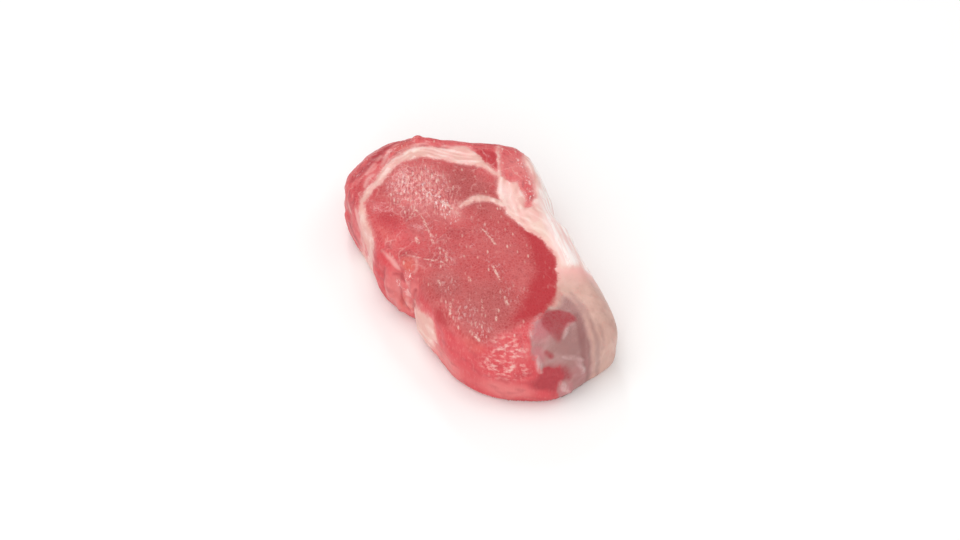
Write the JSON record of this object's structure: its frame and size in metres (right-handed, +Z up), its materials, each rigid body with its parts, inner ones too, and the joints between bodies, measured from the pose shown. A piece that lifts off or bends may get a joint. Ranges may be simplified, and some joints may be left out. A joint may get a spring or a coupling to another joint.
{
  "type": "raw veal sirloin",
  "caption": "Thick boneless slice of raw veal sirloin: pink eye of lean meat with a cream fat seam, a red rim strip, a rounded fat cap and grey silverskin.",
  "frame": {"origin": "under the middle of the slice's bounding box, at the height of its flat underside", "axes": "+X along the slice towards the silverskin end, +Y towards the fat cap, +Z up through the thickness"},
  "size_m": [0.1382, 0.0838, 0.0332],
  "materials": {
    "meat": "moist raw meat, soft sheen"
  },
  "bodies": {
    "root": {"veal_sirloin": "meat"}
  },
  "joints": []
}
